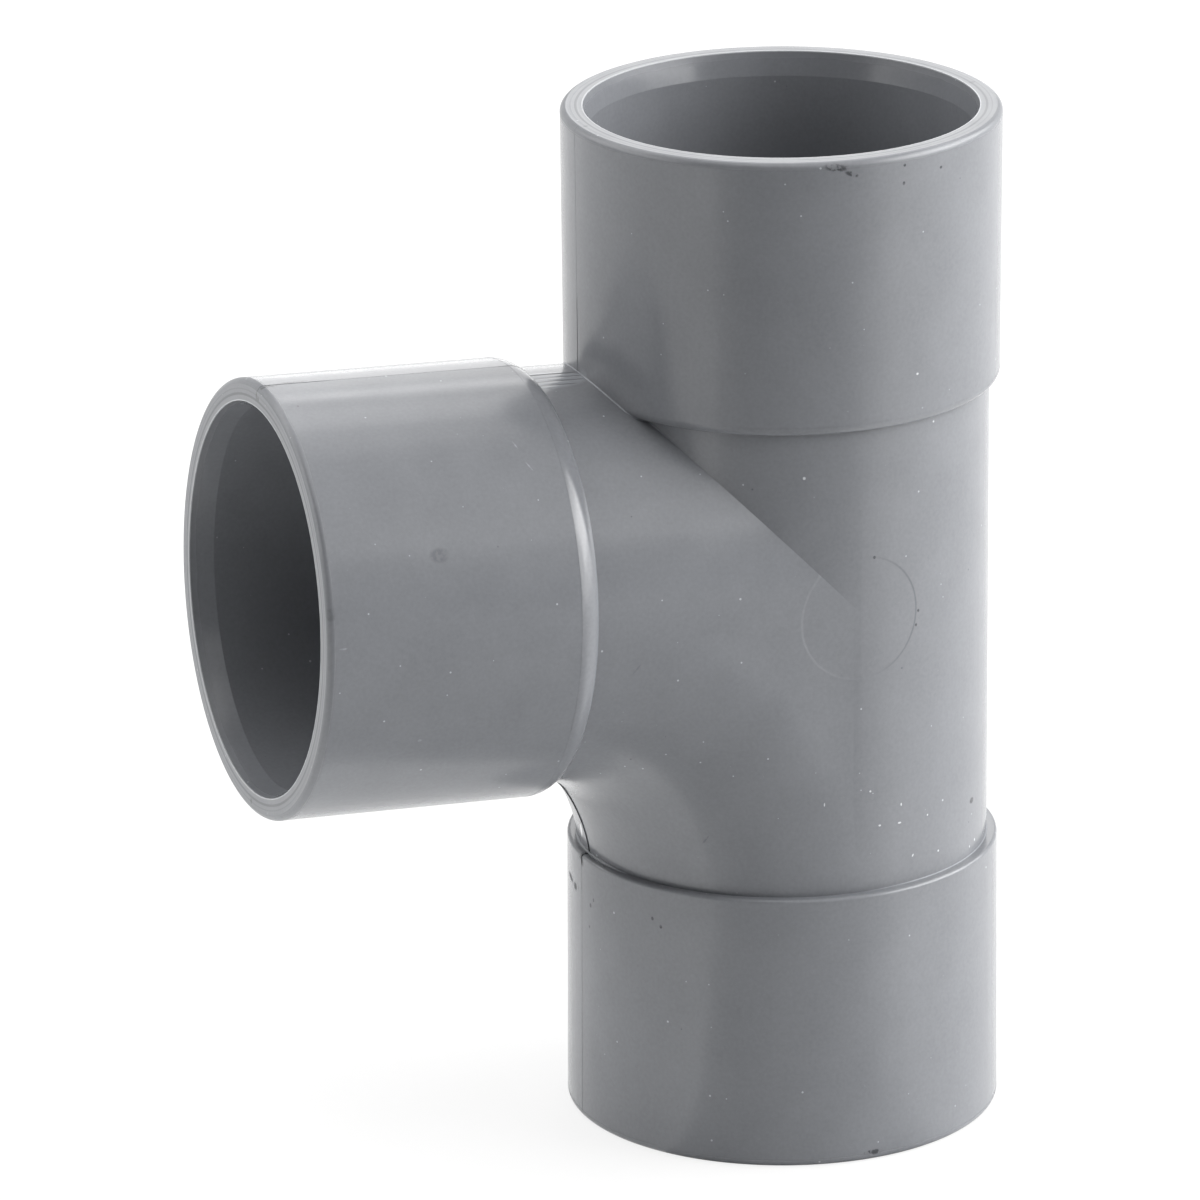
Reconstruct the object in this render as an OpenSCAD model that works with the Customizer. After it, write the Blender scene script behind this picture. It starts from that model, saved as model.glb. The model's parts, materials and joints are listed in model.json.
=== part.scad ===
// Swept tee for plastic waste pipe: one grey PVC-U moulding with three solvent-weld sockets.
// The run stands along +Z, and the branch leaves it towards -X and rises slightly.
// The origin is the centre of the lower mouth, on the run's axis. Sizes are in millimetres.

/* [Pipe] */
// Outside diameter of the pipe that every socket takes
pipe_d = 40; // [32:1:50]
// Gap around the pipe in a socket, on the radius
pipe_gap = 0.1; // [0.05:0.05:0.3]
// How far a pipe goes in, from the mouth to its stop
socket_depth = 27; // [22:0.5:29]

/* [Sockets] */
// Wall thickness of a socket at its mouth
socket_wall = 2.9; // [2:0.1:4]
// Rounding of the outer edge at a mouth
rim_round = 0.7; // [0.2:0.1:1.5]
// Depth of the tapered lead-in at a mouth
lead_in_depth = 2.6; // [1:0.1:4]
// How much wider than the bore the lead-in is at the mouth, on the radius
lead_in_flare = 0.55; // [0.2:0.05:1]

/* [Run] */
// Length of the run, from mouth to mouth
run_length = 109.6; // [100:0.1:125]
// Length of the lower socket, from its mouth to its flat ledge
lower_socket_length = 29.8; // [28:0.1:32]
// Length of the upper socket, from its mouth to its shoulder
upper_socket_length = 29.2; // [28:0.1:32]
// How much thinner a run socket is at its inner end, on the radius
run_socket_draft = 0.15; // [0.05:0.05:0.4]
// Rounding of the lower ledge's outer edge
ledge_round = 0.35; // [0.1:0.05:0.8]
// Rounding of the upper shoulder's outer edge
upper_shoulder_round = 1; // [0.3:0.1:1.2]

/* [Branch] */
// Height at which the axes of the run and the branch cross
branch_height = 60.5; // [58:0.1:64]
// Distance from that crossing to the branch's mouth, along the branch
branch_reach = 58.9; // [56:0.1:66]
// Rise of the branch above square, in degrees
branch_rise = 2.2; // [0.5:0.1:3]
// Length of the branch's socket, from its mouth to its shoulder
branch_socket_length = 30.2; // [28:0.1:32]
// Rounding of the branch shoulder's outer edge
branch_shoulder_round = 2.7; // [0.5:0.1:3]

/* [Body] */
// Bore of the waterway between the pipe stops
waterway_d = 36.8; // [30:0.1:38]
// Wall thickness of the body between the sockets
body_wall = 3.35; // [2.5:0.05:4]

/* [Sweep] */
// Radius of the throat's long lower arc
throat_r = 18.7; // [15:0.1:22]
// Turn of that lower arc, in degrees, before the tighter upper arc takes over
throat_turn = 31.5; // [20:0.5:45]
// Radius of the throat's upper arc
throat_tight_r = 5.85; // [3:0.05:10]

/* [Hidden] */
$fn = 96;

pvc_grey = [0.45, 0.46, 0.48];

// The part is cut past its faces by this much
cut = 1;
// Each form of the sweep stays this far inside the form that it grows out of, so that no two
// walls lie on one another
tuck = 0.005;
// The lower bend runs on by this much, in degrees, inside the start of the upper one
bend_overlap = 6;

bore_r = pipe_d / 2 + pipe_gap;
socket_r = bore_r + socket_wall;
waterway_r = waterway_d / 2;
body_r = waterway_r + body_wall;

// The sweep's centreline is two arcs that meet smoothly. Directions along it are angles from
// upright, and the second arc ends along the branch.
branch_turn = 90 - branch_rise;
lower_bend_r = throat_r + body_r;
upper_bend_r = throat_tight_r + body_r;

// How far the centreline goes sideways and up, from the run's axis to the branch's
sweep_reach = lower_bend_r * (1 - cos(throat_turn))
    + upper_bend_r * (cos(throat_turn) - cos(branch_turn));
sweep_climb = lower_bend_r * sin(throat_turn)
    + upper_bend_r * (sin(branch_turn) - sin(throat_turn));

// Height at which the sweep leaves the run, so that it ends on the branch's axis
sweep_start = branch_height + sweep_reach * tan(branch_rise) - sweep_climb;

lower_bend_centre = [-lower_bend_r, sweep_start];
upper_bend_centre = lower_bend_centre
    + (lower_bend_r - upper_bend_r) * [cos(throat_turn), sin(throat_turn)];

// Steps of a bend's centreline in the web's outline
web_steps = 3;

function on_bend(centre, radius, turn) = centre + radius * [cos(turn), sin(turn)];

function bend_points(centre, radius, from, to) =
    [for (i = [0 : web_steps]) on_bend(centre, radius, from + (to - from) * i / web_steps)];

// Square corner less a circle: cuts the outer edge at [r, z] to a rounding that faces up or down
module edge_cutter(r, z, rounding, up) {
    side = up ? 1 : -1;
    translate([r - rounding, z - side * rounding])
        difference() {
            scale([1, side]) square(rounding + cut);
            circle(rounding);
        }
}

// Outside of a socket, mouth down at the origin, solid right through
module socket_form(length, shoulder_r, shoulder_round) {
    rotate_extrude()
        difference() {
            polygon([
                [0, 0],
                [socket_r, 0],
                [socket_r, rim_round],
                [shoulder_r, length - shoulder_round],
                [shoulder_r, length],
                [0, length]
            ]);
            edge_cutter(socket_r, 0, rim_round, false);
            edge_cutter(shoulder_r, length, shoulder_round, true);
        }
}

// Room for the pipe in a socket, mouth down at the origin: a tapered lead-in and the bore
module socket_room() {
    cylinder(h = socket_depth, r = bore_r);
    translate([0, 0, -cut])
        cylinder(
            h = lead_in_depth + cut,
            r1 = bore_r + lead_in_flare * (1 + cut / lead_in_depth),
            r2 = bore_r
        );
}

module at_upper_mouth() {
    translate([0, 0, run_length]) rotate([180, 0, 0]) children();
}

// Along the branch: the origin is where the axes cross, and +Z points to the branch's mouth
module along_branch() {
    translate([0, 0, branch_height]) rotate([0, branch_rise - 90, 0]) children();
}

module at_branch_mouth() {
    along_branch() translate([0, 0, branch_reach]) rotate([180, 0, 0]) children();
}

module at_every_mouth() {
    children();
    at_upper_mouth() children();
    at_branch_mouth() children();
}

// One arc of the sweep, as a tube of radius r that turns from one angle to another
module bend(r, centre, radius, from, to) {
    translate([centre[0], 0, centre[1]])
        rotate([90, 0, 0])
            rotate([0, 0, from])
                rotate_extrude(angle = to - from)
                    translate([radius, 0])
                        circle(r);
}

// Flat-sided web that fills the hollow between the sweep's tube and the two straight tubes
module sweep_web(r) {
    lower = bend_points(lower_bend_centre, lower_bend_r, 0, throat_turn);
    upper = bend_points(upper_bend_centre, upper_bend_r, throat_turn, branch_turn);
    later = [for (i = [1 : web_steps]) upper[i]];
    rotate([90, 0, 0])
        linear_extrude(height = 2 * r, center = true)
            polygon(concat(lower, later, [[0, branch_height]]));
}

// Sweep from the run into the branch, which blends the lower crotch
module sweep(r) {
    bend(r - tuck, lower_bend_centre, lower_bend_r, 0, throat_turn + bend_overlap);
    bend(r - 2 * tuck, upper_bend_centre, upper_bend_r, throat_turn, branch_turn);
    sweep_web(r - 3 * tuck);
}

// Swept junction of radius r: the body's outside and its waterway are the same form.
// The run goes from one height to another, and the branch as far as reach.
module junction(r, from, to, reach) {
    translate([0, 0, from]) cylinder(h = to - from, r = r);
    along_branch() cylinder(h = reach, r = r);
    sweep(r);
}

module tee_outside() {
    junction(
        body_r,
        lower_socket_length / 2,
        run_length - upper_socket_length / 2,
        branch_reach - branch_socket_length / 2
    );
    socket_form(lower_socket_length, socket_r - run_socket_draft, ledge_round);
    at_upper_mouth()
        socket_form(upper_socket_length, socket_r - run_socket_draft, upper_shoulder_round);
    at_branch_mouth()
        socket_form(branch_socket_length, socket_r, branch_shoulder_round);
}

module tee_inside() {
    at_every_mouth() socket_room();
    junction(
        waterway_r,
        socket_depth - cut,
        run_length - socket_depth + cut,
        branch_reach - socket_depth + cut
    );
}

module tee_body() {
    color(pvc_grey)
        difference() {
            tee_outside();
            tee_inside();
        }
}

tee_body();
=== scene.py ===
"""Swept waste-pipe tee, injection moulded in grey PVC-U, dressed and lit in a plain studio.

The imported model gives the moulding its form. This script gives the plastic its finish, with
the dust and rubs of a fitting from stock, adds the fine seam that the halves of the mould
left, and sets up the floor, the light and the camera. A name that ends in _mm holds
millimetres, and any other length is in metres.
"""

import json
import logging
import math
from dataclasses import dataclass
from enum import Enum
from typing import Any, Protocol

import bmesh
import bpy
from mathutils import Matrix, Vector


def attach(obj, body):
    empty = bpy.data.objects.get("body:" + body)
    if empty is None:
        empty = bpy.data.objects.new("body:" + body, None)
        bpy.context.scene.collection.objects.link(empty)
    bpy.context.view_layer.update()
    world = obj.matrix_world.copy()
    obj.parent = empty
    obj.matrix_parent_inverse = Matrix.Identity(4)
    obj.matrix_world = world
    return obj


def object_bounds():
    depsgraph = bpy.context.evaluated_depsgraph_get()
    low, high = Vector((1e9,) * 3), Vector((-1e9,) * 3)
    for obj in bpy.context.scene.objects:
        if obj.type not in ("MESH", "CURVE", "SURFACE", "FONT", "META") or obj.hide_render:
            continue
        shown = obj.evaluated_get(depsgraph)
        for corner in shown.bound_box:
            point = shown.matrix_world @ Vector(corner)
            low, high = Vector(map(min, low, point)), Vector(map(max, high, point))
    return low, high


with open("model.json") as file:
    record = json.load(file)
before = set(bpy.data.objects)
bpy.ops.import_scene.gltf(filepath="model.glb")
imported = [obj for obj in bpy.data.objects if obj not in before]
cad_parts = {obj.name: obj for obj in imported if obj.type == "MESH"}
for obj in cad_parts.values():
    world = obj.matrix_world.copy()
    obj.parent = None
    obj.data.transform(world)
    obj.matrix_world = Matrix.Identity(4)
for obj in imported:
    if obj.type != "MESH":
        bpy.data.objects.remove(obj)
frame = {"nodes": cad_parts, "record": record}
CAD_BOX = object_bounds()

LOG = logging.getLogger("tee")
MM = 0.001
BODY = "root"
MOULDING = "tee_body"

# Place of the branch's mouth among the three
BRANCH = 2
# Vertices that lie closer than this are one
MERGE = 1e-6
# Span of values that a noise mostly keeps to
NOISE_SPAN = {"From Min": 0.3, "From Max": 0.7}

Point = tuple[float, float, float]
Colour = tuple[float, float, float, float]
Source = bpy.types.Node | bpy.types.NodeSocket


def linear_colour(hex_code: str) -> Colour:
    """Turns an sRGB hex colour into the linear colour that a shader takes.

    Args:
        hex_code: the colour, such as "#75787D".

    Returns:
        Linear red, green and blue, and an alpha of 1.
    """
    channels = [int(hex_code[start : start + 2], 16) / 255 for start in (1, 3, 5)]
    red, green, blue = (c / 12.92 if c <= 0.04045 else ((c + 0.055) / 1.055) ** 2.4 for c in channels)
    return red, green, blue, 1.0


def add_node(
    tree: bpy.types.NodeTree,
    kind: str,
    settings: dict[str | int, Any] | None = None,
    links: dict[str | int, Source] | None = None,
) -> bpy.types.Node:
    """Adds one shader node, with its settings and its links.

    Args:
        tree: the node tree that the node goes into.
        kind: the node's type without its prefix, such as "Math".
        settings: its options by name, and its inputs' own values by name or number.
        links: what feeds its inputs, by name or number: a socket, or a node's first output.

    Returns:
        The new node.
    """
    node = tree.nodes.new(f"ShaderNode{kind}")
    for name, value in (settings or {}).items():
        if isinstance(name, str) and hasattr(node, name):
            setattr(node, name, value)
        else:
            node.inputs[name].default_value = value
    for name, source in (links or {}).items():
        socket = source.outputs[0] if isinstance(source, bpy.types.Node) else source
        tree.links.new(socket, node.inputs[name])
    return node


def emptied(owner: bpy.types.Material | bpy.types.World) -> bpy.types.NodeTree:
    """Turns on the nodes of a material or a world.

    Args:
        owner: the material or the world.

    Returns:
        Its node tree, emptied.
    """
    owner.use_nodes = True
    owner.node_tree.nodes.clear()
    return owner.node_tree


def towards(azimuth: float, elevation: float) -> Vector:
    """Points along a direction from the object.

    Args:
        azimuth: degrees from +X towards +Y.
        elevation: degrees above the floor.

    Returns:
        The direction, as a unit vector.
    """
    turn, rise = math.radians(azimuth), math.radians(elevation)
    flat = math.cos(rise)
    return Vector((flat * math.cos(turn), flat * math.sin(turn), math.sin(rise)))


def keep_in_box(form: bmesh.types.BMesh) -> None:
    """Pulls a mesh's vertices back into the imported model's box.

    Args:
        form: the mesh.
    """
    for vertex in form.verts:
        for axis in range(3):
            low, high = CAD_BOX[0][axis], CAD_BOX[1][axis]
            vertex.co[axis] = min(max(vertex.co[axis], low), high)


def meshed(name: str, form: bmesh.types.BMesh) -> bpy.types.Mesh:
    """Turns a form into a mesh, and frees the form.

    Args:
        name: the mesh's name.
        form: the form.

    Returns:
        The mesh.
    """
    mesh = bpy.data.meshes.new(name)
    form.to_mesh(mesh)
    form.free()
    return mesh


def shown(name: str, mesh: bpy.types.Mesh, finish: bpy.types.Material) -> bpy.types.Object:
    """Puts a mesh into the scene, with one finish.

    Args:
        name: the object's name.
        mesh: the mesh.
        finish: its material.

    Returns:
        The object.
    """
    mesh.materials.clear()
    mesh.materials.append(finish)
    piece = bpy.data.objects.new(name, mesh)
    bpy.context.scene.collection.objects.link(piece)
    return piece


def fitted(name: str, mesh: bpy.types.Mesh, finish: bpy.types.Material) -> bpy.types.Object:
    """Puts a piece of the tee into the scene, so that it rides the tee's body.

    Args:
        name: the piece's name.
        mesh: its mesh.
        finish: its material.

    Returns:
        The piece.
    """
    piece = shown(name, mesh, finish)
    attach(piece, BODY)
    return piece


@dataclass(frozen=True)
class Mouth:
    """One mouth of the tee.

    Attributes:
        name: the socket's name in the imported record.
        centre: the centre of the rim's flat face.
        axis: the direction that the mouth faces.
        bore_mm: the radius of the socket's bore.
    """

    name: str
    centre: Vector
    axis: Vector
    bore_mm: float

    LEAD_IN_MM = 2.6
    FLARE_MM = 0.55
    FACE_MM = 0.01

    @classmethod
    def from_mount(cls, mount: dict[str, Any]) -> "Mouth":
        """Makes a mouth from its socket's mount, which lies at the lead-in's inner end.

        Args:
            mount: the socket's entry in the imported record.

        Returns:
            The mouth, with its centre in the plane of the rim.
        """
        axis = Vector(mount["axis"]).normalized()
        centre = Vector(mount["pos_m"]) + axis * cls.LEAD_IN_MM * MM
        return cls(mount["name"], centre, axis, mount["dims"]["r_mm"])

    @property
    def edge_mm(self) -> float:
        """Radius of the corner between the rim's flat face and the lead-in."""
        return self.bore_mm + self.FLARE_MM

    def height_over(self, point: Vector) -> float:
        """How far a point lies beyond the plane of the rim, in metres."""
        return (point - self.centre).dot(self.axis)

    def radius_of(self, point: Vector) -> float:
        """How far a point lies from the mouth's axis, in metres."""
        return (point - self.centre).cross(self.axis).length

    def holds(self, point: Vector) -> bool:
        """Whether a point lies in the plane of the rim's flat face."""
        return abs(self.height_over(point)) < self.FACE_MM * MM


@dataclass
class Surface:
    """A finish's shader while its layers are laid on, from the bare plastic upwards.

    Attributes:
        tree: the material's node tree.
        place: the point on the object, in millimetres.
        colour: the colour as far as it is laid on.
        roughness: the roughness as far as it is laid on.
        height: the relief as far as it is laid on, in millimetres.
    """

    tree: bpy.types.NodeTree
    place: Source
    colour: Source | None = None
    roughness: Source | None = None
    height: Source | None = None

    @classmethod
    def on(cls, material: bpy.types.Material) -> "Surface":
        """Starts a surface on the object's own coordinates.

        Args:
            material: the material that it is the surface of.

        Returns:
            The surface, with nothing laid on yet.
        """
        tree = emptied(material)
        coordinate = add_node(tree, "TexCoord").outputs["Object"]
        place = add_node(tree, "Mapping", {"Scale": (1 / MM, 1 / MM, 1 / MM)}, {"Vector": coordinate})
        return cls(tree, place)

    def tint(self, mask: Source, hex_code: str) -> None:
        """Lays a colour over the surface.

        Args:
            mask: where it goes, from 0 to 1.
            hex_code: the colour in sRGB.
        """
        settings = {"data_type": "RGBA", 7: linear_colour(hex_code)}
        self.colour = add_node(self.tree, "Mix", settings, {0: mask, 6: self.colour}).outputs[2]

    def dull(self, mask: Source, amount: float) -> None:
        """Makes the surface rougher.

        Args:
            mask: where, from 0 to 1.
            amount: by how much where the mask is 1.
        """
        settings = {"operation": "MULTIPLY_ADD", 1: amount}
        self.roughness = add_node(self.tree, "Math", settings, {0: mask, 2: self.roughness})

    def lift(self, mask: Source, height_mm: float) -> None:
        """Raises the relief.

        Args:
            mask: where, from 0 to 1.
            height_mm: by how much where the mask is 1, below zero to sink it.
        """
        settings = {"operation": "MULTIPLY_ADD", 1: height_mm, 2: 0.0}
        links = {0: mask} if self.height is None else {0: mask, 2: self.height}
        self.height = add_node(self.tree, "Math", settings, links)

    def place_in(
        self, centre_mm: Point, radii_mm: Point, turn: Point = (0.0, 0.0, 0.0)
    ) -> tuple[Source, Source]:
        """Finds where the surface lies in an ellipsoid.

        Args:
            centre_mm: the ellipsoid's middle.
            radii_mm: its half sizes along X, Y and Z before it is turned.
            turn: degrees that it is turned about X, Y and Z.

        Returns:
            The place as shares of the half sizes, and its distance from the middle, which is 1
            on the ellipsoid.
        """
        settings = {
            "vector_type": "TEXTURE",
            "Location": centre_mm,
            "Rotation": tuple(math.radians(angle) for angle in turn),
            "Scale": radii_mm,
        }
        local = add_node(self.tree, "Mapping", settings, {"Vector": self.place})
        reach = add_node(self.tree, "VectorMath", {"operation": "LENGTH"}, {0: local})
        return local, reach.outputs["Value"]

    def apart(self, distance: Source, radius_mm: float) -> Source:
        """Finds how far a distance is from a radius, either way.

        Args:
            distance: the distance, in millimetres.
            radius_mm: the radius.

        Returns:
            The difference, without its sign.
        """
        offset = add_node(self.tree, "Math", {"operation": "SUBTRACT", 1: radius_mm}, {0: distance})
        return add_node(self.tree, "Math", {"operation": "ABSOLUTE"}, {0: offset})

    def close(self, ior: float) -> None:
        """Joins the layers to the shader and its output.

        Args:
            ior: the index of refraction.
        """
        relief = add_node(self.tree, "Bump", {"Distance": MM}, {"Height": self.height})
        links = {"Base Color": self.colour, "Roughness": self.roughness, "Normal": relief}
        shader = add_node(self.tree, "BsdfPrincipled", {"IOR": ior}, links)
        add_node(self.tree, "OutputMaterial", None, {"Surface": shader})


class Layer(Protocol):
    """Anything that can be laid on a surface."""

    def lay(self, surface: Surface) -> None:
        """Adds its nodes to the surface."""


@dataclass(frozen=True)
class FlowMottle:
    """Slow changes of the grey where the melt flowed, under a finer grain.

    Attributes:
        deep: the darker end of the grey.
        pale: the lighter end of the grey.
        flow_mm: size of the slow changes.
        grain_mm: size of the grain. The real one is finer than the picture shows.
    """

    deep: str
    pale: str
    flow_mm: float = 7.0
    grain_mm: float = 0.4

    def lay(self, surface: Surface) -> None:
        """Lays the first colour on.

        Args:
            surface: the bare surface.
        """
        tree, place = surface.tree, {"Vector": surface.place}
        waves = {"Scale": 1 / self.flow_mm, "Detail": 3.0, "Roughness": 0.55}
        flow = add_node(tree, "TexNoise", waves, place)
        grain = add_node(tree, "TexNoise", {"Scale": 1 / self.grain_mm, "Detail": 2.0}, place)
        both = add_node(tree, "Mix", {"data_type": "FLOAT", 0: 0.5}, {2: flow, 3: grain})
        share = add_node(tree, "MapRange", NOISE_SPAN, {"Value": both})
        greys = {"data_type": "RGBA", 6: linear_colour(self.deep), 7: linear_colour(self.pale)}
        surface.colour = add_node(tree, "Mix", greys, {0: share}).outputs[2]


@dataclass(frozen=True)
class MouldSkin:
    """The skin that the mould's steel gave the plastic: its gloss and its faint relief.

    Attributes:
        gloss: the lowest and the highest roughness.
        patch_mm: size of the patches of more and less gloss.
        peel_mm: size of the orange-peel ripple, and its height.
        sink_mm: size of the slow waves where the wall shrank, and their height.
    """

    gloss: tuple[float, float]
    patch_mm: float = 4.0
    peel_mm: tuple[float, float] = (0.7, 0.003)
    sink_mm: tuple[float, float] = (11.0, 0.03)

    def lay(self, surface: Surface) -> None:
        """Lays the first roughness and the first relief on.

        Args:
            surface: the surface, with its first colour.
        """
        tree, place = surface.tree, {"Vector": surface.place}
        patch = add_node(tree, "TexNoise", {"Scale": 1 / self.patch_mm, "Detail": 4.0}, place)
        span = {**NOISE_SPAN, "To Min": self.gloss[0], "To Max": self.gloss[1]}
        surface.roughness = add_node(tree, "MapRange", span, {"Value": patch})
        for size_mm, height_mm in (self.peel_mm, self.sink_mm):
            ripple = add_node(tree, "TexNoise", {"Scale": 1 / size_mm, "Detail": 1.0}, place)
            surface.lift(ripple, height_mm)


@dataclass(frozen=True)
class Specks:
    """Dust or dirt lying about on the surface, one speck to a cell of its own size.

    Attributes:
        colour: the specks' colour.
        cell_mm: how far apart the cells are.
        largest_mm: radius of the largest speck.
        share: the part of the cells that hold a speck.
        shift: moves the pattern, so that two of them differ.
        strength: how well the specks cover.
        soft: the part of the largest radius over which a speck's edge fades.
    """

    colour: str
    cell_mm: float
    largest_mm: float
    share: float
    shift: Point
    strength: float
    soft: float = 0.3

    def lay(self, surface: Surface) -> None:
        """Lays the specks on.

        Args:
            surface: the surface that they lie on.
        """
        tree, largest = surface.tree, self.largest_mm / self.cell_mm
        moved = add_node(tree, "Mapping", {"Location": self.shift}, {"Vector": surface.place})
        cell = add_node(tree, "TexVoronoi", {"Scale": 1 / self.cell_mm}, {"Vector": moved})
        chance = add_node(tree, "SeparateColor", None, {0: cell.outputs["Color"]})
        sizes = {"From Min": 1 - self.share, "To Max": largest}
        radius = add_node(tree, "MapRange", sizes, {"Value": chance})
        distance = cell.outputs["Distance"]
        inside = add_node(tree, "Math", {"operation": "SUBTRACT"}, {0: radius, 1: distance})
        edge = {"From Min": 0.0, "From Max": self.soft * largest, "To Max": self.strength}
        surface.tint(add_node(tree, "MapRange", edge, {"Value": inside}), self.colour)


@dataclass(frozen=True)
class MarkLook:
    """How one kind of mark looks.

    Attributes:
        colour: its colour.
        strength: how well it covers, at most.
        grain_mm: size of the grain that breaks it up.
        broken: how far the grain breaks it up, from 0 to 1.
        dulling: how much rougher it is than the plastic.
    """

    colour: str
    strength: float
    grain_mm: float
    broken: float
    dulling: float = 0.0


class MarkKind(Enum):
    """The kinds of mark that moulding, storage and handling left, and a painted highlight on the throat,
    with the look of each.
    """

    # Dark scuff, rubbed in
    SCUFF = MarkLook("#3C3D40", 0.85, 0.35, 0.9)
    # Small dark pit or nick
    PIT = MarkLook("#3A3B3E", 0.85, 0.3, 0.3)
    # Dark scrape that left the plastic rough
    SCRAPE = MarkLook("#3A3B3E", 0.9, 0.3, 0.3, 0.5)
    # Faint dark bloom
    SMUDGE = MarkLook("#5C5E62", 0.6, 0.6, 0.6)
    # Fine light line
    SCRATCH = MarkLook("#A6A8AC", 0.45, 0.4, 0.5)
    # Grain or thread of pale dust
    FLUFF = MarkLook("#D6D8DA", 0.7, 0.3, 0.1)
    # Painted highlight: a pale streak on the throat beside the parting line
    WHITENED = MarkLook("#F2F3F4", 0.95, 0.5, 0.0)


@dataclass(frozen=True)
class Mark:
    """One mark on the plastic, as an ellipsoid that the surface cuts through.

    Attributes:
        centre_mm: its middle, on the surface.
        radii_mm: its half sizes along X, Y and Z before it is turned.
        turn: degrees that it is turned about X, Y and Z.
    """

    centre_mm: Point
    radii_mm: Point
    turn: Point = (0.0, 0.0, 0.0)


@dataclass(frozen=True)
class Marks:
    """All the marks of one kind.

    Attributes:
        kind: their kind.
        places: the marks.
        full: share of a mark's size out to which it covers fully.
        grain_span: the noise's span over which its grain goes from bare to covered.
    """

    kind: MarkKind
    places: tuple[Mark, ...]
    full: float = 0.6
    grain_span: tuple[float, float] = (0.45, 0.55)

    def lay(self, surface: Surface) -> None:
        """Lays the marks on, each as far as its grain lets it.

        Args:
            surface: the surface that they are on.
        """
        tree, look = surface.tree, self.kind.value
        edge = {"From Min": 1.0, "From Max": self.full, "To Max": look.strength}
        cover: Source | None = None
        for mark in self.places:
            _, reach = surface.place_in(mark.centre_mm, mark.radii_mm, mark.turn)
            inside = add_node(tree, "MapRange", edge, {"Value": reach})
            if cover is not None:
                inside = add_node(tree, "Math", {"operation": "MAXIMUM"}, {0: cover, 1: inside})
            cover = inside
        noise = {"Scale": 1 / look.grain_mm, "Detail": 3.0}
        grain = add_node(tree, "TexNoise", noise, {"Vector": surface.place})
        bare, covered = self.grain_span
        span = {"From Min": bare, "From Max": covered, "To Min": 1 - look.broken}
        left = add_node(tree, "MapRange", span, {"Value": grain})
        mask = add_node(tree, "Math", {"operation": "MULTIPLY"}, {0: cover, 1: left})
        surface.tint(mask, look.colour)
        if look.dulling:
            surface.dull(mask, look.dulling)


@dataclass(frozen=True)
class RimFace:
    """The flat face of a mouth: fine turned lines round it, and a painted highlight along its inner
    corner.

    Attributes:
        mouth: the mouth.
        line_mm: how far apart the lines are, and their height.
        skin_mm: how deep the face's own look goes.
        groove: colour of the dirt in the deeper lines.
        deep_span: the lines' span over which the dirt comes in.
        soil_and_shade: how well the dirt covers.
        worn_mm: how far from the face the wall is duller from handling.
        wear: how much rougher it is there.
        corner: colour of the painted highlight along the inner corner, where its edge catches the light.
        corner_mm: half width of the painted highlight.
        corner_full: share of that width out to which the colour covers fully.
        rub_and_highlight: how well the painted highlight covers.
    """

    mouth: Mouth
    line_mm: tuple[float, float] = (0.4, 0.05)
    skin_mm: float = 0.12
    groove: str = "#4E5054"
    deep_span: tuple[float, float] = (0.52, 0.62)
    soil_and_shade: float = 0.75
    worn_mm: float = 1.1
    wear: float = 0.12
    # Painted highlight: a light line along the rim's inner corner, where the edge catches the light
    corner: str = "#C9CBCE"
    corner_mm: float = 0.13
    corner_full: float = 0.3
    rub_and_highlight: float = 0.7

    def lay(self, surface: Surface) -> None:
        """Lays the lines and the corner's painted highlight on.

        Args:
            surface: the surface that the face is on.
        """
        tree, axis = surface.tree, tuple(self.mouth.axis)
        centre = {"operation": "SUBTRACT", 1: tuple(self.mouth.centre / MM)}
        out = add_node(tree, "VectorMath", centre, {0: surface.place})
        ahead = add_node(tree, "VectorMath", {"operation": "DOT_PRODUCT", 1: axis}, {0: out})
        along = ahead.outputs["Value"]
        across = add_node(tree, "VectorMath", {"operation": "CROSS_PRODUCT", 1: axis}, {0: out})
        length = add_node(tree, "VectorMath", {"operation": "LENGTH"}, {0: across})
        radius = length.outputs["Value"]
        level = {"operation": "COMPARE", 1: 0.0, 2: self.skin_mm}
        flat = add_node(tree, "Math", level, {0: along})

        noise = {"noise_dimensions": "1D", "Scale": 1 / self.line_mm[0], "Detail": 2.0}
        lines = add_node(tree, "TexNoise", noise, {"W": radius})
        turned = add_node(tree, "Math", {"operation": "MULTIPLY"}, {0: lines, 1: flat})
        surface.lift(turned, self.line_mm[1])
        shallow, deep = self.deep_span
        span = {"From Min": shallow, "From Max": deep, "To Max": self.soil_and_shade}
        surface.tint(add_node(tree, "MapRange", span, {"Value": turned}), self.groove)

        near = {"From Min": -self.worn_mm, "From Max": -self.worn_mm / 2}
        surface.dull(add_node(tree, "MapRange", near, {"Value": along}), self.wear)

        # Painted highlight along the inner corner, on the flat face only
        apart = surface.apart(radius, self.mouth.edge_mm)
        full_mm = self.corner_full * self.corner_mm
        edge = {"From Min": self.corner_mm, "From Max": full_mm, "To Max": self.rub_and_highlight}
        corner = add_node(tree, "MapRange", edge, {"Value": apart})
        rub_and_highlight = add_node(tree, "Math", {"operation": "MULTIPLY"}, {0: corner, 1: flat})
        surface.tint(rub_and_highlight, self.corner)


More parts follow.
